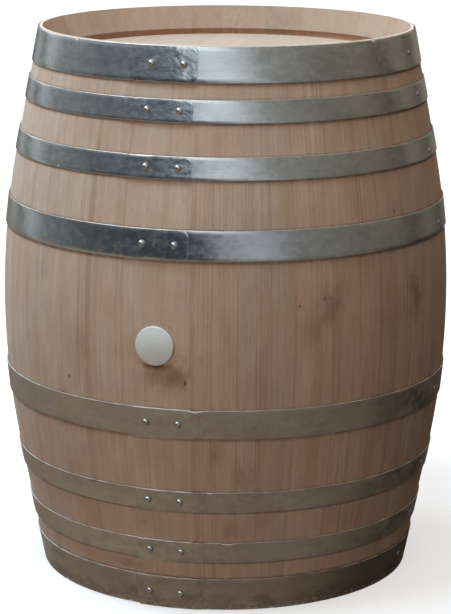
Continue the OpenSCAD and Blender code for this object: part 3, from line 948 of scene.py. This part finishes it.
def hoop_mesh(hoop, material, rng):
    """One strip that starts under its lap, goes once round and ends on top of the lap."""
    per_metre = hoop.per_metre
    corner = UPPER_CORNER_R if hoop.upper else LOWER_CORNER_R
    end = 360 + hoop.half_pitch + LAP_TAIL * per_metre
    ramp_at = 360 - (LAP_FLAT + RAMP_L) * per_metre
    nicks = [((az - hoop.lap) * hoop.side % 360, *nick) for az, *nick in NICKS[hoop.name]]
    turns = strip_turns(hoop, nicks, ramp_at, end, corner)[:, None]
    outline = section_outline(UPPER_EDGE_R if hoop.upper else LOWER_EDGE_R)
    n, share, inset, on_edge = outline.T[:, None, :]
    all_points = np.ones((len(turns), len(outline)))

    from_end = (end - turns) / per_metre
    climbed = smooth_step((turns - ramp_at) / (RAMP_L * per_metre))
    lift = LAYER_STEP * climbed + TAIL_LIFT * np.clip(1 - from_end / TAIL_L, 0, 1) ** 2
    cut = corner - np.sqrt(corner**2 - np.clip(corner - from_end, 0, corner) ** 2)
    half_width, curled, bared = worn_edges(hoop, nicks, turns / per_metre, share, cut, rng)
    dropped = LAP_DROPS.get(hoop.name, 0.0) * smooth_step((turns - ramp_at) / (end - ramp_at))
    v = share * (half_width - inset) - dropped * (1 - share) / 2
    dents = Waves(rng, 0.11, 0.05, 0.00010)(turns / per_metre, v)
    azimuths = (hoop.lap + hoop.side * turns) * all_points
    points = hoop.at(azimuths, HOOP_CLEAR + HOOP_SEAT + n + lift + curled + dents, v)
    faces = tube_faces(*all_points.shape)
    piece = new_piece(f"steel_{hoop.name}", points.reshape(-1, 3), faces, [material], sharp_above=50)

    layer = np.minimum(lift / LAYER_STEP, 1)
    strip = np.stack([turns / per_metre * all_points, v, layer * all_points], -1)
    strip += rng.uniform(0, 9, 3) * np.array([1, 1, 0])
    from_lap = np.abs(turns - 360 + 0.004 * per_metre) / per_metre
    around = wrapped(azimuths)
    set_attributes(
        piece.data,
        strip=strip.reshape(-1, 3),
        height_share=(v / hoop.width + 0.5).ravel(),
        edge=(on_edge * all_points).ravel(),
        bared=(bared * all_points).ravel(),
        lap=(np.clip(1.25 - from_lap / LAP_MARKS_L, 0, 1) * all_points).ravel(),
        # Painted shade over the barrel's right side, away from the key light, from azimuth 22 to 170
        damp=(smooth_step((around - 22) / 45) * smooth_step((170 - around) / 50)).ravel(),
    )
    return piece


def mud_and_scuffs(s, strip, shaken, up, colour):
    """Mud on the lowest hoop, painted shade over its right side away from the key light, and scuffs along its
    lower edge.
    """
    # Painted shade on the right side, away from the key light
    colour = s.lay(s.value("damp"), 0.80, colour, (0.062, 0.050, 0.039))
    patches = s.times(s.between(up, 0.85, 0.10), 0.10, s.noise(shaken, (17, 26, 1), 5.0, 0.68))
    mud = s.between(patches, 0.48, 0.74)
    colour = s.lay(mud, 0.46, colour, (0.066, 0.053, 0.042))
    low = s.between(up, 0.34, 0.02)
    crumbs = s.between(s.noise(strip, (190, 230, 1), 3.0, 0.65), 0.56, 0.68)
    colour = s.lay(crumbs, s.times(low, 0.65), colour, (0.050, 0.036, 0.027))
    scuff = s.between(s.times(low, 0.13, s.noise(strip, (480, 110, 1))), 0.65, 0.73)
    colour = s.lay(scuff, 0.60, colour, (0.62, 0.58, 0.50))
    speck = s.between(s.times(low, 0.12, s.noise(strip, (310, 330, 1), 2.0)), 0.735, 0.765)
    return s.lay(speck, 0.9, colour, (0.84, 0.82, 0.76))


def zinc(name, dust, bright, dark, grimes, roughness, crinkle, splashed=False):
    """Galvanised strip. dust is the share of the surface that grime of two colours has dulled.

    splashed adds mud, and the light scuffs of the floor along the lower edge.
    """
    material, s = new_material(name)
    strip = s.vector("strip")
    edge = s.value("edge")
    bared = s.between(s.value("bared"), 0.50, 0.85)
    lap = s.value("lap")
    up = s.value("height_share")
    shaken = s.shake(strip, (60, 80, 1), (0.016, 0.012, 0), 2.0)

    spangle = s.cells(shaken, (110, 140, 1))
    rolled = s.noise(strip, (3.0, 420, 1))
    smear = s.noise(shaken, (9, 20, 1), 3.0, 0.55)
    blotch = s.noise(shaken, (55, 75, 1), 4.0, 0.62)
    grit = s.noise(strip, (700, 700, 1), 2.0)
    speck = s.between(s.noise(strip, (420, 520, 1), 2.0), 0.66, 0.74)
    scratch = s.between(s.noise(strip, (18, 1300, 1), 2.0, 0.5, 0.3), 0.66, 0.70)

    patchy = s.times(lap, 0.9, 0.9)
    tone = s.swing(spangle, s.times(patchy, 0.28))
    tone = s.swing(blotch, patchy, tone)
    tone = s.swing(smear, 1.1, tone)
    tone = s.swing(rolled, 0.40, tone)
    tone = s.math("ADD", tone, 0.5, clamp=True)
    colour = s.mix(tone, dark, bright)
    colour = s.lay(speck, 0.45, colour, [c * 0.45 for c in dark])
    colour = s.lay(scratch, 0.35, colour, [min(c * 1.35, 1) for c in bright])

    grime_noise = s.noise(shaken, (14, 26, 1), 4.0)
    low_edge = s.between(up, 0.30, 0.0)
    top_edge = s.between(up, 0.86, 1.0)
    grime = s.times(low_edge, 0.06, s.times(top_edge, 0.12, grime_noise))
    grime = s.between(grime, 1.0 - dust, 1.35 - dust)
    mixed = s.swing(grit, 1.4, s.times(smear, 0.9), clamp=True)
    colour = s.lay(grime, 0.84, colour, s.mix(mixed, *grimes))
    if splashed:
        colour = mud_and_scuffs(s, strip, shaken, up, colour)
    worn = s.times(edge, s.between(s.noise(strip, (45, 1, 1)), 0.30, 0.60))
    worn = s.math("MAXIMUM", s.times(worn, 0.80 - 0.30 * dust), bared)
    colour = s.mix(worn, colour, (0.84, 0.85, 0.84))

    rough = s.swing(spangle, 0.08, roughness)
    rough = s.swing(blotch, 0.20, rough)
    rough = s.times(grime, 0.26, rough)
    rough = s.math("MAXIMUM", s.times(worn, -0.12, rough), 0.08)
    height = s.times(rolled, 0.25, s.times(scratch, -0.3, s.times(grit, 0.15)))
    fine = s.bump(height, 0.00010, 0.4)
    crumple = s.times(s.noise(strip, (78, 88, 1), 2.0, 0.5), s.times(lap, 1.0, 0.10))
    creased = s.bump(crumple, crinkle, 0.7, fine)
    dents = s.times(s.noise(strip, (30, 26, 1), 2.0, 0.5), s.times(lap, 0.8, 0.25))
    dented = s.bump(dents, 0.0016, 0.5, creased)
    metal = s.times(grime, -0.85, 1.0)
    bared_metal = 0.35
    s.surface(
        Base_Color=colour,
        Metallic=s.times(bared, s.math("SUBTRACT", bared_metal, metal), metal),
        Roughness=rough,
        Normal=dented,
    )
    return material


def build_hoops(rng):
    brown_dirt = ((0.185, 0.140, 0.098), (0.330, 0.262, 0.188))
    earth = ((0.225, 0.187, 0.142), (0.52, 0.45, 0.36))
    clean = zinc("zinc_clean", 0.16, (0.76, 0.80, 0.82), (0.46, 0.49, 0.51), brown_dirt, 0.18, 0.0006)
    dull = zinc("zinc_dull", 0.56, (0.64, 0.61, 0.56), (0.46, 0.43, 0.38), brown_dirt, 0.34, 0.0003)
    muddy = zinc("zinc_dirty", 0.78, (0.56, 0.51, 0.44), (0.34, 0.30, 0.25), earth, 0.42, 0.0003, True)
    materials = {name: clean for name in UPPER_HOOPS} | {name: dull for name in LOWER_HOOPS}
    materials["bottom_head_hoop"] = muddy
    hoops = [Hoop(name) for name in HOOPS]
    for hoop in hoops:
        stand_in(hoop_mesh(hoop, materials[hoop.name], rng), hoop.name)
    return hoops


# ---- rivets and nails

RIVET_HEAD_R = 0.00575
RIVET_HEAD_H = 0.0048
NAIL_HEAD_R = 0.00375
NAIL_HEAD_H = 0.0018
HEAD_SEAT = 0.00018


def dome_outline(r, h, rim, steps):
    """Outline of a domed head from the middle down to its foot, with a soft lower edge."""
    angles = np.radians(np.linspace(3, 90, steps))
    outline = [(r * math.sin(a), rim + (h - rim) * math.cos(a)) for a in angles]
    return outline + [(r * 0.985, rim * 0.35), (r * 0.94, 0.0), (0.0004, 0.0)]


def dome_group(name, places, outline, turns, squash, material, rng):
    """Domed heads at the given frames as one piece, each a little different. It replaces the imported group."""
    points, faces = lathe(outline, turns)
    all_points = []
    all_faces = []
    shades = []
    for place in places:
        shaped = points * np.array([1 - squash * rng.uniform(0, 1), 1 - squash * rng.uniform(0, 1), 1])
        knocked = shaped[:, 0] * rng.uniform(-1, 1) + shaped[:, 1] * rng.uniform(-1, 1)
        shaped[:, 2] -= squash * 0.5 * np.abs(knocked)
        shaped[:, 2] = np.maximum(shaped[:, 2], 0)
        tilt = Matrix.Rotation(rng.uniform(0, 0.05), 4, "X")
        moved = np.array([place @ tilt @ Vector(p) for p in shaped])
        first = sum(len(p) for p in all_points)
        all_points.append(moved)
        all_faces += [tuple(i + first for i in face) for face in faces]
        shades += [rng.uniform(0, 1)] * len(points)
    piece = new_piece(f"steel_{name}", np.concatenate(all_points), all_faces, [material], sharp_above=60)
    set_attributes(piece.data, shade=shades)
    stand_in(piece, name)


def fastener_steel(name, bright, dark, roughness, tarnish):
    material, s = new_material(name)
    place = s.object_place()
    shade = s.value("shade")
    cloudy = s.noise(place, (420, 420, 420))
    pits = s.between(s.noise(place, (1500, 1500, 1500), 2.0, 0.5), 0.62, 0.72)
    tarnished = s.times(s.between(s.noise(place, (160, 160, 160)), 0.42, 0.72), tarnish)
    colour = s.mix(s.times(shade, 0.4, s.times(cloudy, 0.6)), dark, bright)
    colour = s.mix(tarnished, colour, (0.20, 0.15, 0.11))
    s.surface(
        Base_Color=colour,
        Metallic=s.times(tarnished, -0.7, 1.0),
        Roughness=s.times(cloudy, 0.16, s.times(tarnished, 0.3, roughness)),
        Normal=s.bump(s.times(pits, -0.5, cloudy), 0.00006, 0.5),
    )
    return material


def build_fasteners(hoops, rng):
    on_ring = HOOP_CLEAR + HOOP_T + HEAD_SEAT
    on_lap = on_ring + LAYER_STEP
    rivet_places = [hoop.frame_at(azimuth, on_lap, 0) for hoop in hoops for azimuth in hoop.rivets]
    nail_places = []
    for hoop in hoops:
        for group in fasteners("hoop_nails", hoop.z):
            head = group[np.argsort(radius_of(group) - surface_r(group[:, 2]))[-12:]].mean(0)
            nail_places.append(hoop.frame_at(wrapped(azimuth_of(head)), on_ring, hoop.height_on(head)))
    bright = fastener_steel("rivet_steel", (0.56, 0.57, 0.59), (0.40, 0.41, 0.43), 0.09, 0.12)
    plain = fastener_steel("nail_steel", (0.66, 0.67, 0.68), (0.44, 0.44, 0.44), 0.16, 0.35)
    rivet = dome_outline(RIVET_HEAD_R, RIVET_HEAD_H, 0.0008, 16)
    nail = dome_outline(NAIL_HEAD_R, NAIL_HEAD_H, 0.0004, 8)
    dome_group("hoop_rivets", rivet_places, rivet, 32, 0.05, bright, rng)
    dome_group("hoop_nails", nail_places, nail, 24, 0.08, plain, rng)


# ---- bung

BUNG_CAP_R = 0.03025
BUNG_CAP_H = 0.0085
BUNG_LIFT = 0.00015
PLUG_L = 0.037
PLUG_R = 0.02592
PLUG_TIP_R = 0.02318
BUNG_CORE_R = 0.011
BUNG_CORE_L = 0.024


def bung_outline():
    """From the middle of the cap, round its edge and down the plug, to the middle of the core."""
    edge_r = 0.0022
    flat_r = BUNG_CAP_R - edge_r
    shoulder = BUNG_LIFT + 2 * edge_r
    rise = BUNG_CAP_H - shoulder
    ball = (flat_r**2 + rise**2) / (2 * rise)
    crown = np.linspace(0.0008, flat_r - 0.0006, 16)
    outline = [(r, BUNG_CAP_H - ball + math.sqrt(ball**2 - r**2)) for r in crown]
    for a in np.radians(np.linspace(78, -90, 14)):
        outline.append((flat_r + edge_r * math.cos(a), BUNG_LIFT + edge_r + edge_r * math.sin(a)))
    outline += [(PLUG_R + 0.0009, BUNG_LIFT), (PLUG_R + 0.0002, BUNG_LIFT - 0.0001)]
    for share in np.linspace(0.0, 1.0, 12):
        depth = 0.0012 + share * (PLUG_L - 0.0012 - 0.002)
        outline.append((PLUG_R - (PLUG_R - PLUG_TIP_R) * depth / PLUG_L, -depth))
    for a in np.radians(np.linspace(10, 90, 6)):
        outline.append((PLUG_TIP_R - 0.002 + 0.002 * math.cos(a), -PLUG_L + 0.002 - 0.002 * math.sin(a)))
    outline += [(BUNG_CORE_R + 0.0008, -PLUG_L), (BUNG_CORE_R, -PLUG_L + 0.0008)]
    outline += [(BUNG_CORE_R, -PLUG_L + BUNG_CORE_L - 0.0015), (BUNG_CORE_R - 0.0015, -PLUG_L + BUNG_CORE_L)]
    outline.append((0.0008, -PLUG_L + BUNG_CORE_L))
    return outline


def silicone():
    material, s = new_material("bung_silicone")
    place = s.object_place()
    film = s.noise(place, (70, 70, 70))
    grain = s.noise(place, (900, 900, 900), 2.0)
    lint = s.between(s.noise(place, (330, 330, 330)), 0.66, 0.76)
    colour = s.mix(film, (0.78, 0.85, 0.83), (0.69, 0.745, 0.72))
    colour = s.lay(lint, 0.22, colour, (0.48, 0.45, 0.40))
    s.surface(
        Base_Color=colour,
        Roughness=s.times(film, 0.14, 0.40),
        Specular_IOR_Level=0.35,
        Subsurface_Weight=0.25,
        Subsurface_Radius=(0.006, 0.005, 0.004),
        Normal=s.bump(s.times(lint, 0.5, grain), 0.00008, 0.35),
    )
    return material


def build_bung():
    points, faces = lathe(bung_outline(), 96)
    piece = new_piece("silicone_bung", at_bung(points), faces, [silicone()], sharp_above=40)
    stand_in(piece, "bung", BUNG)


# ---- hidden parts that stay as packed


def hidden_part_material(name, pale, dark, scales):
    """A fibrous material for the reeds and dowels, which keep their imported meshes."""
    material, s = new_material(name)
    place = s.object_place()
    fibre = s.noise(place, scales)
    spots = s.noise(place, (260, 260, 260))
    colour = s.mix(fibre, dark, pale)
    colour = s.lay(s.between(spots, 0.5, 0.75), 0.4, colour, dark)
    s.surface(Base_Color=colour, Roughness=s.times(fibre, 0.2, 0.6), Normal=s.bump(fibre, 0.0002, 0.6))
    return material


def dress_hidden_parts():
    reed = hidden_part_material("reed_leaf", (0.42, 0.36, 0.17), (0.22, 0.18, 0.08), (900, 60, 1400))
    dowel = hidden_part_material("dowel_wood", (0.52, 0.37, 0.22), (0.33, 0.21, 0.12), (60, 900, 900))
    for node, material in (("head_reeds", reed), ("head_dowels", dowel)):
        for end in ("top", "bottom"):
            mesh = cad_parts[f"{end}_{node}"].data
            mesh.materials.clear()
            mesh.materials.append(material)


# ---- floor, light and camera

CAMERA_AZIMUTH = 17.0
CAMERA_DISTANCE = 3.748
CAMERA_HEIGHT = 1.2885
CAMERA_PITCH = 13.125
CAMERA_ROLL = 0.27
LENS = 137.63


def build_floor():
    mesh = bpy.data.meshes.new("floor")
    reach = 14.0
    corners = [(-reach, -reach, 0), (reach, -reach, 0), (reach, reach, 0), (-reach, reach, 0)]
    mesh.from_pydata(corners, [], [(0, 1, 2, 3)])
    material, s = new_material("floor_pale")
    place = s.object_place()
    cloud = s.noise(place, (3, 3, 3), 4.0)
    # The floor's glow is painted light that keeps it white far off; it is weaker near the barrel, so the ground
    # round its foot shows darker as painted shade with the lamps' shadow
    away = s.between(s.vector_math("LENGTH", place), 0.40, 1.30)
    s.surface(
        Base_Color=s.mix(cloud, (0.44, 0.44, 0.44), (0.48, 0.48, 0.48)),
        Emission_Color=(1, 1, 1),
        Emission_Strength=s.times(away, 0.42, 0.60),
        Roughness=0.9,
        Specular_IOR_Level=0.0,
    )
    mesh.materials.append(material)
    floor = add_object("floor", mesh)
    floor.visible_glossy = False
    floor.visible_diffuse = False


LIGHT_DISTANCE = 3.0
LIGHT_AIM = 0.45

# Azimuth from the camera's, elevation, size, power and colour of each lamp
LAMPS = {
    "key": (-50, 70, 0.9, 72, (0.66, 0.86, 0.97)),
    "window": (-125, 25, 1.4, 70, (0.71, 0.84, 0.97)),
    "lamp": (80, 72, 1.4, 30, (1.0, 0.86, 0.73)),
    "fill": (-20, 10, 1.6, 23, (1.0, 0.83, 0.75)),
}


def build_light(name, azimuth, elevation, size, power, colour):
    """A soft square lamp, aimed at the middle of the barrel."""
    lamp = bpy.data.lights.new(name, "AREA")
    lamp.size = size
    lamp.energy = power
    lamp.color = colour
    light = add_object(name, lamp)
    up = math.radians(elevation)
    aim = Vector((0, 0, LIGHT_AIM))
    out = LIGHT_DISTANCE * math.cos(up)
    z = LIGHT_AIM + LIGHT_DISTANCE * math.sin(up)
    light.location = round_barrel(CAMERA_AZIMUTH + azimuth, out, z)
    light.rotation_euler = (aim - light.location).to_track_quat("-Z", "Y").to_euler()
    light.visible_glossy = False


# The room that the hoops reflect: azimuth from the camera's, and colour
ROOM = [
    (-180, (0.42, 0.43, 0.43)), (-162, (1.10, 1.11, 1.10)), (-151, (0.42, 0.43, 0.43)),
    (-138, (1.28, 1.30, 1.31)), (-123, (0.53, 0.55, 0.56)), (-108, (0.44, 0.45, 0.455)),
    (-84, (0.20, 0.213, 0.223)), (-50, (0.145, 0.16, 0.175)), (-22, (0.122, 0.142, 0.172)),
    (-12, (0.60, 0.65, 0.67)), (8, (0.59, 0.63, 0.65)), (24, (0.30, 0.29, 0.27)),
    (44, (0.255, 0.24, 0.205)), (62, (0.205, 0.182, 0.145)), (84, (0.22, 0.19, 0.148)),
    (98, (0.125, 0.107, 0.083)), (112, (0.27, 0.235, 0.18)), (128, (0.14, 0.12, 0.092)),
    (140, (0.34, 0.30, 0.24)), (165, (0.26, 0.23, 0.19)), (180, (0.42, 0.43, 0.43)),
]
GROUND = [
    (-180, (0.25, 0.208, 0.158)), (-90, (0.32, 0.266, 0.20)), (-50, (0.325, 0.268, 0.20)),
    (-10, (0.245, 0.203, 0.153)), (30, (0.21, 0.175, 0.134)), (60, (0.19, 0.16, 0.125)),
    (82, (0.15, 0.128, 0.103)), (94, (0.04, 0.034, 0.028)), (106, (0.10, 0.086, 0.070)),
    (118, (0.014, 0.012, 0.010)), (150, (0.05, 0.043, 0.036)), (180, (0.25, 0.208, 0.158)),
]
CEILING = [(-180, 0.9), (-140, 1.2), (-105, 3.4), (-45, 3.4), (-15, 1.1), (20, 0.6), (70, 0.4), (180, 0.9)]

# How the room brightens upwards on its left and right sides
LEFT_RISING = [(0.0, 0.38), (0.25, 0.43), (0.45, 0.88), (0.52, 1.02), (0.6, 1.68), (0.8, 2.0)]
RIGHT_RISING = [(0.0, 0.70), (0.25, 0.86), (0.5, 1.00), (0.6, 1.02), (0.8, 1.2)]

# The weaker light that the room and the ground give to the wood
SOFT_ROOM = [(-180, (0.12, 0.12, 0.12)), (-60, (0.13, 0.125, 0.12)), (90, (0.10, 0.080, 0.062))]
SOFT_GROUND = (0.105, 0.082, 0.064)


def by_azimuth(stops):
    """Stops in degrees, as places along a ramp that goes once round."""
    return [(at / 360 + 0.5, colour) for at, colour in stops]


def build_world():
    """White behind the barrel, and round it a room with one bright side that the metal reflects."""
    world = bpy.data.worlds.new("studio")
    bpy.context.scene.world = world
    world.use_nodes = True
    s = Shader(world.node_tree)
    direction = s.add("ShaderNodeTexCoord").outputs["Generated"]
    inputs = {"Vector": direction, "Angle": math.radians(-CAMERA_AZIMUTH)}
    turned = s.add("ShaderNodeVectorRotate", inputs, rotation_type="Z_AXIS").outputs["Vector"]
    x, y, z = s.add("ShaderNodeSeparateXYZ", {0: turned}).outputs
    azimuth = s.math("ARCTAN2", x, s.times(y, -1.0))
    slanted = s.times(s.math("SUBTRACT", z, 0.20), 1.0, azimuth)
    room_turn = s.times(slanted, 1 / (2 * math.pi), 0.5)
    turn = s.times(azimuth, 1 / (2 * math.pi), 0.5)

    room = s.ramp(room_turn, by_azimuth(ROOM))
    height = s.between(z, -0.1, 0.5, "LINEAR")
    rising = s.mix(s.between(azimuth, -0.35, 0.6), s.ramp(height, LEFT_RISING), s.ramp(height, RIGHT_RISING))
    room = s.mix(1.0, room, rising, "MULTIPLY")
    ground = s.ramp(turn, by_azimuth(GROUND))
    ceiling = s.ramp(turn, by_azimuth(CEILING))
    overhead = s.mix(s.between(z, 0.84, 0.93), ceiling, (0.72, 0.73, 0.74))
    glossy = s.mix(s.between(z, -0.22, -0.08), ground, room)
    glossy = s.mix(s.between(z, 0.56, 0.66), glossy, overhead)

    soft_room = s.ramp(turn, by_azimuth(SOFT_ROOM))
    diffuse = s.mix(s.between(z, -0.35, 0.15), SOFT_GROUND, soft_room)
    path = s.add("ShaderNodeLightPath").outputs
    seen = s.mix(path["Is Glossy Ray"], diffuse, glossy)
    seen = s.mix(path["Is Camera Ray"], seen, (1, 1, 1))
    s.add("ShaderNodeOutputWorld", {"Surface": s.add("ShaderNodeBackground", {"Color": seen}).outputs[0]})


def build_camera():
    data = bpy.data.cameras.new("camera")
    data.lens = LENS
    data.clip_end = 60
    camera = add_object("camera", data)
    place = Matrix.Translation(round_barrel(CAMERA_AZIMUTH, CAMERA_DISTANCE, CAMERA_HEIGHT))
    heading = Matrix.Rotation(math.radians(CAMERA_AZIMUTH), 4, "Z")
    pitch = Matrix.Rotation(math.radians(90 - CAMERA_PITCH), 4, "X")
    roll = Matrix.Rotation(math.radians(CAMERA_ROLL), 4, "Z")
    camera.matrix_world = place @ heading @ pitch @ roll
    bpy.context.scene.camera = camera


def build_stage():
    build_floor()
    build_world()
    for name, settings in LAMPS.items():
        build_light(name, *settings)
    build_camera()
    bpy.context.scene.view_settings.view_transform = "Standard"


# ---- run

rng = np.random.default_rng(228)
build_staves(rng)
build_heads(rng)
build_fasteners(build_hoops(rng), rng)
build_bung()
dress_hidden_parts()
build_stage()
